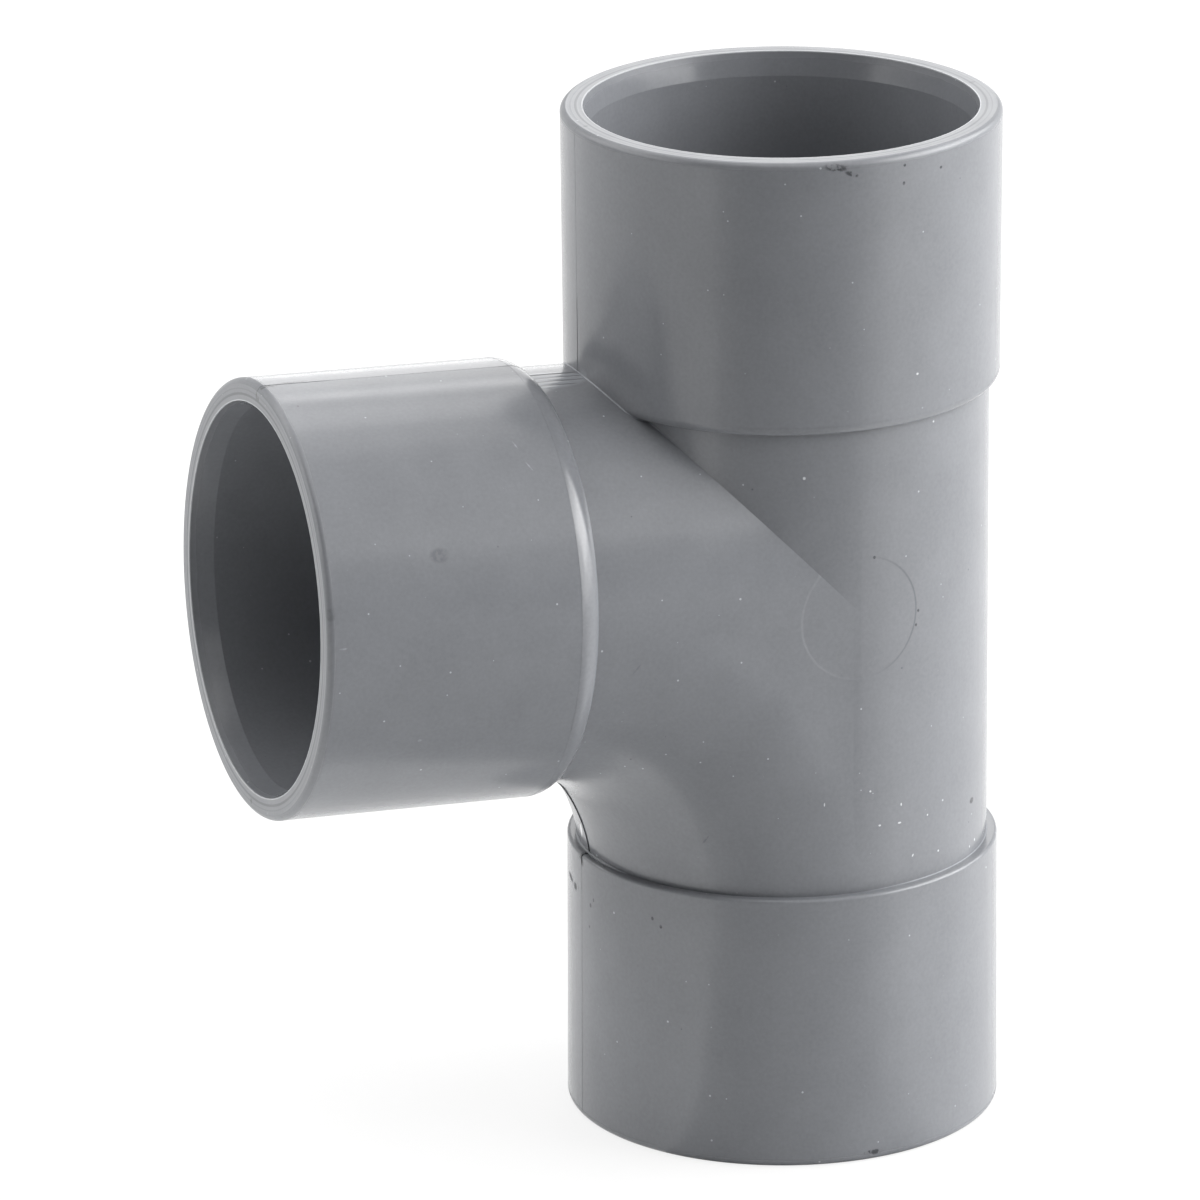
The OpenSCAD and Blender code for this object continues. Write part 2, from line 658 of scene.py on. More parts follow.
@dataclass(frozen=True)
class InsertWitness:
    """The faint round step that an insert in the mould left on the body's side.

    Attributes:
        centre_mm: its middle, on the surface.
        radius_mm: its radius.
        depth_mm: how far the disc inside it is sunk.
        edge_mm: width of the step.
        reach_mm: how far the mark reaches along Y, so that it stays on one side.
        step_shade: colour of the painted shade in the step, on the side towards +X, where the step's
            wall faces away from the light.
        step_shade_mm: half width of the painted shade's line.
        side_mm: how far along X the painted shade comes in, and where it is all there.
        soil_and_shade: how well the painted shade covers.
    """

    centre_mm: Point
    radius_mm: float
    depth_mm: float = 0.022
    edge_mm: float = 0.35
    reach_mm: float = 4.0
    # Painted shade: a dark line along the step's +X side, where its wall faces away from the light
    step_shade: str = "#4C4F53"
    step_shade_mm: float = 0.14
    side_mm: tuple[float, float] = (1.5, 6.0)
    soil_and_shade: float = 0.45

    def lay(self, surface: Surface) -> None:
        """Sinks the disc and paints shade along the +X side of its step.

        Args:
            surface: the surface that the mark is on.
        """
        tree, half_mm = surface.tree, self.edge_mm / 2
        local, reach = surface.place_in(self.centre_mm, (1.0, self.reach_mm, 1.0))
        step = {
            "interpolation_type": "SMOOTHSTEP",
            "From Min": self.radius_mm + half_mm,
            "From Max": self.radius_mm - half_mm,
        }
        surface.lift(add_node(tree, "MapRange", step, {"Value": reach}), -self.depth_mm)

        # Painted shade along the step, coming in towards +X
        apart = surface.apart(reach, self.radius_mm)
        across = add_node(tree, "SeparateXYZ", None, {0: local})
        start_mm, full_mm = self.side_mm
        span = {"From Min": start_mm, "From Max": full_mm, "To Max": self.soil_and_shade}
        side = add_node(tree, "MapRange", span, {"Value": across.outputs["X"]})
        width = {"From Min": self.step_shade_mm, "From Max": 0.0}
        line = add_node(tree, "MapRange", width, {"Value": apart})
        soil_and_shade = add_node(tree, "Math", {"operation": "MULTIPLY"}, {0: line, 1: side})
        surface.tint(soil_and_shade, self.step_shade)


@dataclass(frozen=True)
class ToolLines:
    """Fine lines along the top of the neck, where the mould's steel was left less polished.

    Attributes:
        centre_mm: the middle of the patch.
        radii_mm: its half sizes along X, Y and Z.
        full: share of its size out to which the lines are full.
        pitch_mm: how far apart the lines are, across the neck.
        height_mm: their height.
        pale: colour of the worn plastic between the lines.
        rub_and_highlight: how well it covers.
        dark: colour of the lines.
        soil_and_shade: how well it covers.
        low: the part of the wave, from its middle down, from which the dark colour comes in.
    """

    centre_mm: Point
    radii_mm: Point
    full: float = 0.8
    pitch_mm: float = 0.97
    height_mm: float = 0.02
    pale: str = "#989BA0"
    rub_and_highlight: float = 0.6
    dark: str = "#4C4F53"
    soil_and_shade: float = 0.7
    low: float = 0.5

    def lay(self, surface: Surface) -> None:
        """Raises the lines and marks them.

        Args:
            surface: the surface that the patch is on.
        """
        tree = surface.tree
        _, reach = surface.place_in(self.centre_mm, self.radii_mm)
        edge = {"From Min": 1.0, "From Max": self.full}
        patch = add_node(tree, "MapRange", edge, {"Value": reach})
        across = add_node(tree, "SeparateXYZ", None, {0: surface.place})
        pitch = {"operation": "MULTIPLY", 1: math.tau / self.pitch_mm}
        turn = add_node(tree, "Math", pitch, {0: across.outputs["Y"]})
        wave = add_node(tree, "Math", {"operation": "SINE"}, {0: turn})
        lines = add_node(tree, "Math", {"operation": "MULTIPLY"}, {0: wave, 1: patch})
        surface.lift(lines, self.height_mm / 2)
        rub_and_highlight = add_node(tree, "Math", {"operation": "MULTIPLY", 1: self.rub_and_highlight}, {0: patch})
        surface.tint(rub_and_highlight, self.pale)
        span = {"From Min": -self.low, "From Max": -1.0, "To Max": self.soil_and_shade}
        surface.tint(add_node(tree, "MapRange", span, {"Value": lines}), self.dark)


@dataclass(frozen=True)
class MouldedPvc:
    """Unplasticised PVC, injection moulded in polished steel.

    To the eye it is an opaque cool grey with a low, even sheen: reflections are soft but keep
    their edges, and the surface is smooth but for a faint ripple.

    Attributes:
        name: the material's name.
        deep: the darker end of the grey.
        pale: the lighter end of the grey.
        gloss: the lowest and the highest roughness.
        layers: what lies on the plastic, from the lowest up.
        ior: the index of refraction of PVC.
    """

    name: str
    deep: str
    pale: str
    gloss: tuple[float, float]
    layers: tuple[Layer, ...] = ()
    ior: float = 1.53

    def make(self) -> bpy.types.Material:
        """Makes the material.

        Returns:
            The material.
        """
        material = bpy.data.materials.new(self.name)
        surface = Surface.on(material)
        for layer in (FlowMottle(self.deep, self.pale), MouldSkin(self.gloss), *self.layers):
            layer.lay(surface)
        surface.close(self.ior)
        return material


@dataclass
class Moulding:
    """The tee's body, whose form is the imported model's own.

    Attributes:
        node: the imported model's object.
        mouths: its three mouths.
    """

    node: bpy.types.Object
    mouths: tuple[Mouth, ...]

    DUST = (
        Specks("#BFC2C6", 1.7, 0.15, 0.8, (3.1, 7.7, 1.9), 0.6),
        Specks("#4B4C50", 3.2, 0.16, 0.6, (-5.3, 2.9, 6.1), 0.6),
    )
    WITNESS = InsertWitness((0.0, -21.75, 60.0), 6.6)
    NECK_LINES = ToolLines((-26.8, -1.6, 83.2), (4.6, 2.5, 1.6))
    MARKS = {
        MarkKind.SCUFF: (
            Mark((-3.3, -22.8, 109.0), (1.5, 0.9, 0.45), (0.0, 8.0, 0.0)),
            Mark((-1.6, -22.95, 108.2), (0.9, 0.6, 0.3), (0.0, 20.0, 0.0)),
            Mark((1.0, -23.0, 0.9), (1.2, 0.6, 0.35)),
            Mark((-56.9, -0.3, 85.6), (1.3, 0.45, 0.5), (0.0, 0.0, 14.0)),
            Mark((-54.2, 0.4, 85.6), (2.4, 0.28, 0.5), (0.0, 0.0, 4.0)),
        ),
        MarkKind.PIT: (
            Mark((4.4, -22.6, 108.4), (0.2, 0.3, 0.2)),
            Mark((9.0, -21.1, 107.3), (0.22, 0.3, 0.2)),
            Mark((4.3, -22.6, 106.5), (0.2, 0.3, 0.25)),
            Mark((-21.9, -0.4, 109.6), (0.35, 0.25, 0.3)),
            Mark((21.5, -0.1, 109.6), (0.45, 0.25, 0.3)),
            Mark((-58.0, -0.2, 84.4), (0.5, 0.3, 0.3)),
            Mark((-59.7, -0.4, 40.9), (0.4, 0.25, 0.4)),
            Mark((-22.74, -2.24, 24.8), (0.4, 0.25, 0.3)),
            Mark((-22.67, -2.95, 25.6), (0.4, 0.18, 0.25)),
            Mark((-22.77, -2.0, 22.3), (0.4, 0.15, 0.2)),
            Mark((-22.5, 0.1, 29.75), (0.7, 0.4, 0.45)),
            Mark((-22.8, -0.3, 28.9), (0.4, 0.25, 0.5)),
            Mark((-19.5, -11.9, 26.2), (0.2, 0.2, 0.25)),
            Mark((-18.9, -12.8, 25.5), (0.2, 0.2, 0.25)),
            Mark((15.3, -15.5, 35.8), (0.6, 0.6, 0.38)),
            Mark((-58.0, 0.3, 84.6), (0.5, 0.25, 0.6)),
            Mark((1.5, -21.7, 66.4), (0.2, 0.3, 0.2)),
            Mark((6.9, -20.6, 59.6), (0.18, 0.3, 0.2)),
            Mark((6.6, -20.7, 58.1), (0.18, 0.3, 0.2)),
        ),
        MarkKind.SCRAPE: (
            Mark((-22.5, 4.2, 25.75), (0.8, 1.5, 0.4), (6.0, 0.0, 0.0)),
            Mark((-22.75, 2.14, 25.45), (0.5, 0.7, 0.5)),
            Mark((-22.0, -0.05, 30.2), (0.5, 0.35, 0.4)),
            Mark((-22.85, 0.5, 29.3), (0.3, 0.4, 0.2)),
        ),
        MarkKind.SMUDGE: (
            Mark((-24.8, -21.4, 57.5), (0.12, 0.6, 0.8), (0.0, 40.0, 0.0)),
            Mark((-45.9, -20.7, 72.3), (1.2, 0.8, 0.9)),
            Mark((-58.3, -22.3, 68.0), (0.6, 0.8, 0.8)),
            Mark((-15.4, -16.7, 36.0), (0.12, 0.5, 1.2), (0.0, 25.0, 0.0)),
        ),
        MarkKind.SCRATCH: (
            Mark((-34.9, -13.4, 80.6), (0.9, 0.6, 0.09), (0.0, 62.0, 0.0)),
            Mark((-34.2, -15.6, 78.9), (0.9, 0.6, 0.09), (0.0, 55.0, 0.0)),
            Mark((-57.2, -22.9, 64.4), (0.55, 0.5, 0.12)),
            Mark((-48.4, -20.9, 52.8), (0.25, 0.4, 0.2)),
        ),
        MarkKind.FLUFF: (
            Mark((4.6, -21.25, 36.7), (0.25, 0.2, 0.12)),
            Mark((2.2, -21.6, 36.85), (0.17, 0.2, 0.13)),
            Mark((1.1, -21.7, 40.8), (0.13, 0.2, 0.13)),
            Mark((-4.05, -21.7, 40.0), (0.08, 0.2, 0.25)),
            Mark((4.8, -21.2, 38.7), (0.1, 0.2, 0.2)),
            Mark((8.25, -20.1, 36.7), (0.11, 0.2, 0.12)),
            Mark((6.3, -20.8, 32.7), (0.1, 0.2, 0.2), (0.0, 30.0, 0.0)),
            Mark((9.8, -19.4, 32.25), (0.14, 0.2, 0.14)),
            Mark((15.9, -14.8, 31.1), (0.15, 0.15, 0.18)),
            Mark((14.9, -15.8, 30.8), (0.12, 0.12, 0.15)),
            Mark((6.1, -22.0, 85.8), (0.17, 0.2, 0.15)),
            Mark((-6.0, -20.9, 75.65), (0.18, 0.2, 0.2)),
            Mark((8.85, -19.85, 79.7), (0.12, 0.2, 0.13)),
        ),
        # Painted highlight on the throat, beside the parting line
        MarkKind.WHITENED: (Mark((-22.3, 1.65, 31.8), (0.5, 0.35, 1.7), (30.0, 0.0, 0.0)),),
    }

    def finish(self) -> MouldedPvc:
        """Works out the plastic's finish, with everything that lies on it.

        Returns:
            The finish.
        """
        layers: tuple[Layer, ...] = (
            self.WITNESS,
            self.NECK_LINES,
            *(RimFace(mouth) for mouth in self.mouths),
            *self.DUST,
            *(Marks(kind, self.MARKS[kind]) for kind in MarkKind),
        )
        return MouldedPvc("pvc_u_moulded_grey", "#717377", "#7A7C80", (0.17, 0.22), layers)

    def dress(self) -> list[bpy.types.Object]:
        """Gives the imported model's object its finish.

        Returns:
            The dressed object, in a list.
        """
        self.node.data.materials.clear()
        self.node.data.materials.append(self.finish().make())
        return [self.node]


class Stretch(Enum):
    """The stretches of the parting line: half the ridge's width and its height, in mm."""

    FOOT = (0.025, 0.012)
    THROAT = (0.065, 0.1)
    BRANCH_MOUTH = (0.045, 0.02)
    BRANCH = (0.012, 0.008)
    NECK = (0.05, 0.02)
    RUN_ROOT = (0.035, 0.025)
    RUN = (0.015, 0.01)


@dataclass
class PartingLine:
    """The fine ridge that the halves of the mould left round the plane of symmetry.

    Attributes:
        node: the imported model's object, whose outline the ridge follows.
        mouths: the tee's mouths, whose flat faces have no ridge.
        sunk_mm: how far it reaches into the wall.
        step_mm: length of its steps, so that a stretch can end on a straight wall.
        joint_mm: points of the outline that lie closer than this are one.
        lip_mm: how far outside the lead-in's corner the outline reaches a rim.
        foot_mm: height of the stretch at the foot, a little under the ledge.
        run_mm: how far the run reaches along -X, and a little over.
        neck_mm: how far the neck, or the throat, reaches along -X.
        mouth_mm: length of the stretch by the branch's mouth.
        root_mm: height up to which the ridge over the branch is left tall.
    """

    node: bpy.types.Object
    mouths: tuple[Mouth, ...]
    sunk_mm: float = 0.05
    step_mm: float = 1.5
    joint_mm: float = 0.02
    lip_mm: float = 0.5
    foot_mm: float = 29.3
    run_mm: float = 23.5
    neck_mm: float = 31.0
    mouth_mm: float = 7.0
    root_mm: float = 91.0

    # Painted shade: the ridge is the body's plastic drawn in a far darker grey, standing for its shaded
    # side
    FINISH = MouldedPvc("pvc_u_moulded_seam", "#3E4043", "#4A4C50", (0.3, 0.36))

    def outline(self) -> bmesh.types.BMesh:
        """Cuts the moulding along its plane of symmetry, and keeps the outside edges.

        Returns:
            A mesh of the edges that the ridge follows.
        """
        form = bmesh.new()
        form.from_mesh(self.node.data)
        bmesh.ops.remove_doubles(form, verts=form.verts, dist=MERGE)
        bmesh.ops.bisect_plane(
            form,
            geom=[*form.verts, *form.edges, *form.faces],
            plane_co=(0.0, 0.0, 0.0),
            plane_no=(0.0, 1.0, 0.0),
            clear_inner=True,
            clear_outer=True,
        )
        bmesh.ops.remove_doubles(form, verts=form.verts, dist=self.joint_mm * MM)
        flat = [
            edge
            for edge in form.edges
            if any(all(mouth.holds(v.co) for v in edge.verts) for mouth in self.mouths)
        ]
        bmesh.ops.delete(form, geom=flat, context="EDGES")
        inner = [v for chain in self.chains(form) if not self.outside(chain) for v in chain]
        bmesh.ops.delete(form, geom=inner, context="VERTS")
        for edge in form.edges[:]:
            cuts = int(edge.calc_length() / (self.step_mm * MM))
            if cuts:
                bmesh.ops.subdivide_edges(form, edges=[edge], cuts=cuts)
        return form

    def chains(self, form: bmesh.types.BMesh) -> list[list[bmesh.types.BMVert]]:
        """Gathers the vertices that hang together by edges.

        Args:
            form: the mesh of edges.

        Returns:
            The vertices of each chain.
        """
        left = dict.fromkeys(form.verts)
        found = []
        while left:
            chain, ends = [], [left.popitem()[0]]
            while ends:
                vertex = ends.pop()
                chain.append(vertex)
                beside = [edge.other_vert(vertex) for edge in vertex.link_edges]
                for other in beside:
                    if other in left:
                        del left[other]
                        ends.append(other)
            found.append(chain)
        return found

    def outside(self, chain: list[bmesh.types.BMVert]) -> bool:
        """Whether a chain runs along the outside: its ends reach a rim outside the lead-in.

        Args:
            chain: the chain's vertices.

        Returns:
            True if it does.
        """
        ends = [
            mouth.radius_of(v.co) > (mouth.edge_mm + self.lip_mm) * MM
            for v in chain
            for mouth in self.mouths
            if mouth.holds(v.co)
        ]
        return bool(ends) and all(ends)

    def stretch_of(self, point: Vector) -> Stretch:
        """Tells which stretch of the ridge a point lies in.

        Args:
            point: a point of the outline.

        Returns:
            The stretch.
        """
        branch = self.mouths[BRANCH]
        x_mm, height_mm = point.x / MM, point.z / MM
        if height_mm < self.foot_mm:
            return Stretch.FOOT
        if x_mm < 0 and point.z < branch.centre.z:
            return Stretch.THROAT if x_mm > -self.neck_mm else Stretch.BRANCH
        if x_mm < -self.neck_mm:
            from_mouth = -branch.height_over(point) / MM
            return Stretch.BRANCH_MOUTH if from_mouth < self.mouth_mm else Stretch.BRANCH
        if x_mm < -self.run_mm:
            return Stretch.NECK
        return Stretch.RUN_ROOT if x_mm < 0 and height_mm < self.root_mm else Stretch.RUN

    def face_outwards(self, form: bmesh.types.BMesh) -> None:
        """Turns every strip of the ribbon whose faces look into the moulding.

        Args:
            form: the ribbon.
        """
        middle = (self.mouths[0].centre + self.mouths[1].centre) / 2
        for chain in self.chains(form):
            faces = list(dict.fromkeys(face for vertex in chain for face in vertex.link_faces))
            start = min(faces, key=lambda face: face.calc_center_median().z)
            if start.normal.dot(start.calc_center_median() - middle) < 0:
                bmesh.ops.reverse_faces(form, faces=faces)
        form.normal_update()

    def build(self) -> bpy.types.Mesh:
        """Builds the ridge: a ribbon along the outline, raised a little and given a wall.

        Returns:
            Its mesh.
        """
        form = self.outline()
        bmesh.ops.translate(form, verts=form.verts, vec=(0.0, -MM, 0.0))
        swept = bmesh.ops.extrude_edge_only(form, edges=form.edges)["geom"]
        moved = [item for item in swept if isinstance(item, bmesh.types.BMVert)]
        bmesh.ops.translate(form, verts=moved, vec=(0.0, 2 * MM, 0.0))
        bmesh.ops.recalc_face_normals(form, faces=form.faces)
        form.normal_update()
        self.face_outwards(form)
        for vertex in form.verts:
            half, proud = self.stretch_of(vertex.co).value
            vertex.co.y *= half
            vertex.co += vertex.normal * proud * MM
        wall = (max(stretch.value[1] for stretch in Stretch) + self.sunk_mm) * MM
        bmesh.ops.solidify(form, geom=form.faces, thickness=wall)
        keep_in_box(form)
        return meshed("parting_line", form)

    def dress(self) -> list[bpy.types.Object]:
        """Builds the ridge and gives it its finish, in a list."""
        return [fitted("parting_line", self.build(), self.FINISH.make())]


@dataclass(frozen=True)
class EdgeRing:
    """One rounded edge of the moulding, which runs right round an axis.

    Attributes:
        name: the ring's name.
        centre: where the axis meets the face beside the edge.
        axis: the direction that this face looks.
        wall_mm: radius of the wall on the edge's other side.
        round_mm: radius of the rounding.
    """

    name: str
    centre: Vector
    axis: Vector
    wall_mm: float
    round_mm: float

    def at(self, radius_mm: float, angle: float) -> Point:
        """Places a point of the profile, with the ring's centre at the origin.

        Args:
            radius_mm: how far it is from the rounding's own centre.
            angle: its angle there, in degrees from level.

        Returns:
            The point.
        """
        turn = math.radians(angle)
        out_mm = self.wall_mm - self.round_mm + radius_mm * math.cos(turn)
        return out_mm * MM, 0.0, (radius_mm * math.sin(turn) - self.round_mm) * MM


@dataclass
class RoundedEdges:
    """The polished outer edges of the mouths and of the sockets' inner ends.

    Each is a thin skin, turned round its axis in one piece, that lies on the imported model's
    rounding and gives the highlight along it a clean run.

    Attributes:
        node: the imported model's object, whose finish the skins share.
        mouths: the tee's mouths.
        wall_mm: radius of a socket's wall.
        drafts_mm: how much less it is at the lower, the upper and the branch socket's inner end.
        rim_mm: rounding at the mouths.
        lengths_mm: length of the three sockets.
        rounds_mm: rounding at their inner ends.
        proud_mm: how far the skin stands over the model.
        skin_mm: thickness of the skin.
        arc_steps: how many steps the rounding has.
        turn_steps: how many steps there are round the axis.
        sharp: degrees between two faces from which their edge shows as an edge.
    """

    node: bpy.types.Object
    mouths: tuple[Mouth, ...]
    wall_mm: float = 23.0
    drafts_mm: Point = (0.15, 0.15, 0.0)
    rim_mm: float = 0.7
    lengths_mm: Point = (29.8, 29.2, 30.2)
    rounds_mm: Point = (0.35, 1.0, 2.7)
    proud_mm: float = 0.006
    skin_mm: float = 0.05
    arc_steps: int = 10
    turn_steps: int = 256
    sharp: float = 40.0

    def rings(self) -> list[EdgeRing]:
        """Lists each mouth's ring, and the one at its socket's inner end.

        Returns:
            The rings.
        """
        found = []
        for mouth, length, rounding, draft in zip(
            self.mouths, self.lengths_mm, self.rounds_mm, self.drafts_mm
        ):
            name, axis, end = mouth.name, mouth.axis, mouth.centre - mouth.axis * length * MM
            found.append(EdgeRing(f"{name}_rim", mouth.centre, axis, self.wall_mm, self.rim_mm))
            inner_mm = self.wall_mm - draft
            found.append(EdgeRing(f"{name}_shoulder", end, -axis, inner_mm, rounding))
        return found

    def build(self, ring: EdgeRing) -> bpy.types.Mesh:
        """Turns a thin curved profile round the ring's axis.

        Args:
            ring: the ring.

        Returns:
            The ring's mesh.
        """
        form = bmesh.new()
        outer_mm = ring.round_mm + self.proud_mm
        angles = [90 * step / self.arc_steps for step in range(self.arc_steps + 1)]
        outer = [form.verts.new(ring.at(outer_mm, angle)) for angle in angles]
        inner = [form.verts.new(ring.at(outer_mm - self.skin_mm, angle)) for angle in angles]
        loop = outer + inner[::-1]
        edges = [form.edges.new((a, b)) for a, b in zip(loop, loop[1:] + loop[:1])]
        bmesh.ops.spin(
            form,
            geom=[*loop, *edges],
            cent=(0.0, 0.0, 0.0),
            axis=(0.0, 0.0, 1.0),
            angle=math.tau,
            steps=self.turn_steps,
            use_merge=True,
        )
        bmesh.ops.remove_doubles(form, verts=form.verts, dist=MERGE / 10)
        bmesh.ops.recalc_face_normals(form, faces=form.faces)
        upright = ring.axis.to_track_quat("Z", "Y").to_matrix().to_4x4()
        place = Matrix.Translation(ring.centre) @ upright
        bmesh.ops.transform(form, matrix=place, verts=form.verts)
        keep_in_box(form)
        for face in form.faces:
            face.smooth = True
        for edge in form.edges:
            edge.smooth = edge.calc_face_angle(0.0) < math.radians(self.sharp)
        return meshed(ring.name, form)

    def dress(self) -> list[bpy.types.Object]:
        """Builds every ring and gives it the moulding's own finish.

        Returns:
            The rings.
        """
        finish = self.node.data.materials[0]
        return [fitted(ring.name, self.build(ring), finish) for ring in self.rings()]


@dataclass
class CreaseFillets:
    """The fine rounding in the hollow corners where two walls of the moulding meet.

    It shows where the moulding's corners catch the light: where the branch meets the upper
    socket, along the branch's shoulder, on the light side of the run's two shoulders, and on
    the lower ledge below the throat.

    Attributes:
        node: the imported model's object, whose corners are followed.
        mouths: the tee's mouths.
        radius_mm: how thick the rounding is.
        least: the least share of that thickness along a path.
        sharp: degrees between two faces from which their edge is a corner.
        near_mm: how close to a height, or a length, a point counts as there.
        ledge_mm: height of the lower socket's ledge.
        shoulder_mm: height of the upper socket's shoulder.
        branch_mm: how far along the branch its shoulder lies.
        top_mm: height at which the rounding along that shoulder ends.
        top_run_mm: how far below it the rounding starts to thin.
        crotch_mm: how far below the upper shoulder the rounding under the branch's top ends.
        wall_mm: radius inside which the run's corner with the branch lies.
        neck_mm: radius from the branch's axis inside which it lies.
        body_mm: radius of the body, inside which no corner is followed.
        side_mm: where along X the light side of the run starts.
        throat_share: how much thicker the rounding is on the ledge below the throat.
        throat_mm: how far along -X this thick rounding starts.
        throat_run_mm: how far it takes to grow to its full thickness.
    """

    node: bpy.types.Object
    mouths: tuple[Mouth, ...]
    radius_mm: float = 0.1
    least: float = 0.05
    sharp: float = 28.0
    near_mm: float = 0.1
    ledge_mm: float = 29.8
    shoulder_mm: float = 80.4
    branch_mm: float = 28.7
    top_mm: float = 80.0
    top_run_mm: float = 4.0
    crotch_mm: float = 2.5
    wall_mm: float = 23.1
    neck_mm: float = 21.9
    body_mm: float = 21.5
    side_mm: float = 6.0
    throat_share: float = 2.6
    throat_mm: float = 20.2
    throat_run_mm: float = 1.5

    # Painted highlight: the beads are the body's plastic drawn in a paler grey, so that the corners show
    # lighter
    FINISH = MouldedPvc("pvc_u_moulded_corner", "#7C7F84", "#85888D", (0.2, 0.25))

    @property
    def reach(self) -> float:
        """Distance from the run's axis to the branch's mouth, along the branch, in metres."""
        branch = self.mouths[BRANCH]
        return branch.centre.x / branch.axis.x

    def rising(self, distance: float, run: float) -> float:
        """Rises from 0 to 1 as a distance goes from 0 to a run's end."""
        return min(max(distance / run, 0.0), 1.0)

    def share_at(self, point: Vector) -> float:
        """How thick the rounding is at a point, as a share of its full thickness.

        Args:
            point: a point in a hollow corner.

        Returns:
            The share, which is 0 where there is no rounding.
        """
        branch = self.mouths[BRANCH]
        place, from_branch_mm = point / MM, branch.radius_of(point) / MM
        along_mm = (branch.height_over(point) + self.reach) / MM
        from_run_mm = math.hypot(place.x, place.y)
        if from_branch_mm > self.body_mm and abs(along_mm - self.branch_mm) < self.near_mm:
            return self.rising(self.top_mm - place.z, self.top_run_mm)
        if from_run_mm < self.body_mm:
            return 0.0
        if abs(place.z - self.ledge_mm) < self.near_mm:
            grown = self.rising(-place.x - self.throat_mm, self.throat_run_mm)
            return max(self.rising(place.x, self.side_mm), self.throat_share * grown)
        over_mm = place.z - self.shoulder_mm
        if from_run_mm < self.wall_mm and self.body_mm < from_branch_mm < self.neck_mm:
            return self.rising(over_mm + self.crotch_mm, self.crotch_mm)
        if abs(over_mm) < self.near_mm:
            return self.rising(place.x - self.side_mm, self.side_mm)
        return 0.0

    def corners(self) -> bmesh.types.BMesh:
        """Keeps only the hollow corners that have a rounding.

        Returns:
            A mesh of the edges that lie in such corners.
        """
        form = bmesh.new()
        form.from_mesh(self.node.data)
        bmesh.ops.remove_doubles(form, verts=form.verts, dist=MERGE)
        kept = {
            edge
            for edge in form.edges
            if edge.is_manifold
            and not edge.is_convex
            and edge.calc_face_angle() > math.radians(self.sharp)
            and all(self.share_at(vertex.co) > 0 for vertex in edge.verts)
        }
        others = [edge for edge in form.edges if edge not in kept]
        bmesh.ops.delete(form, geom=form.faces[:], context="FACES_ONLY")
        bmesh.ops.delete(form, geom=others, context="EDGES")
        return form

    def paths(self, form: bmesh.types.BMesh) -> list[list[Vector]]:
        """Orders the edges into paths from end to end, or from one meeting to the next.

        Args:
            form: the mesh of edges.

        Returns:
            The points of each path.
        """
        left = dict.fromkeys(form.edges)
        found = []
        while left:
            starts = (e for e in left if any(len(v.link_edges) != 2 for v in e.verts))
            edge = next(starts, next(iter(left)))
            here = next((v for v in edge.verts if len(v.link_edges) != 2), edge.verts[0])
            path = [here.co.copy()]
            while edge is not None:
                del left[edge]
                here = edge.other_vert(here)
                path.append(here.co.copy())
                ways = [way for way in here.link_edges if way in left]
                edge = ways[0] if len(here.link_edges) == 2 and ways else None
            found.append(path)
        return found

    def build(self) -> bpy.types.Mesh:
        """Builds the rounding as a thin round bead along every path.

        Returns:
            The mesh of all the beads.
        """
        form = self.corners()
        curve = bpy.data.curves.new("crease_paths", "CURVE")
        curve.dimensions = "3D"
        curve.bevel_depth = self.radius_mm * MM
        curve.bevel_resolution = 2
        curve.use_fill_caps = True
        for path in self.paths(form):
            spline = curve.splines.new("POLY")
            spline.points.add(len(path) - 1)
            for point, place in zip(spline.points, path):
                point.co = (*place, 1.0)
                point.radius = max(self.share_at(place), self.least)
        form.free()
        holder = bpy.data.objects.new("crease_paths", curve)
        mesh = bpy.data.meshes.new_from_object(holder)
        bpy.data.objects.remove(holder)
        for face in mesh.polygons:
            face.use_smooth = True
        return mesh

    def dress(self) -> list[bpy.types.Object]:
        """Builds the rounding and gives it its finish, in a list."""
        return [fitted("crease_fillets", self.build(), self.FINISH.make())]


@dataclass(frozen=True)
class StudioPaper:
    """Seamless white paper, matt, lit until it is as good as white.

    To the eye it is plain white with the object's soft shadow. The camera and the reflections
    see it alike, and it throws only its own diffuse light at the object.

    Attributes:
        tone: the paper's own colour.
        pale: the lighter colour of its fibres.
        seen: how far it is seen as plain white, from 0 to 1. The rest keeps the shadow.
        fibre_mm: size of its fibres, drawn coarser than real ones.
    """

    tone: str = "#F4F4F2"
    pale: str = "#F8F8F8"
    seen: float = 0.8
    fibre_mm: float = 1.5

    def make(self) -> bpy.types.Material:
        """Makes the material.

        Returns:
            The material.
        """
        material = bpy.data.materials.new("seamless_paper_white")
        tree = emptied(material)
        place = {"Vector": add_node(tree, "TexCoord").outputs["Object"]}
        noise = {"Scale": 1 / (self.fibre_mm * MM), "Detail": 2.0}
        fibres = add_node(tree, "TexNoise", noise, place)
        whites = {"data_type": "RGBA", 6: linear_colour(self.tone), 7: linear_colour(self.pale)}
        tone = add_node(tree, "Mix", whites, {0: fibres})
        matt = add_node(tree, "BsdfDiffuse", None, {"Color": tone.outputs[2]})
        white = add_node(tree, "Emission", {"Strength": 1.0})
        path = add_node(tree, "LightPath").outputs
        seen = path["Is Camera Ray"]
        for ray in ("Is Glossy Ray", "Is Transmission Ray"):
            seen = add_node(tree, "Math", {"operation": "MAXIMUM"}, {0: seen, 1: path[ray]})
        share = add_node(tree, "Math", {"operation": "MULTIPLY", 1: self.seen}, {0: seen})
        mixed = add_node(tree, "MixShader", None, {0: share, 1: matt, 2: white})
        add_node(tree, "OutputMaterial", None, {"Surface": mixed})
        return material


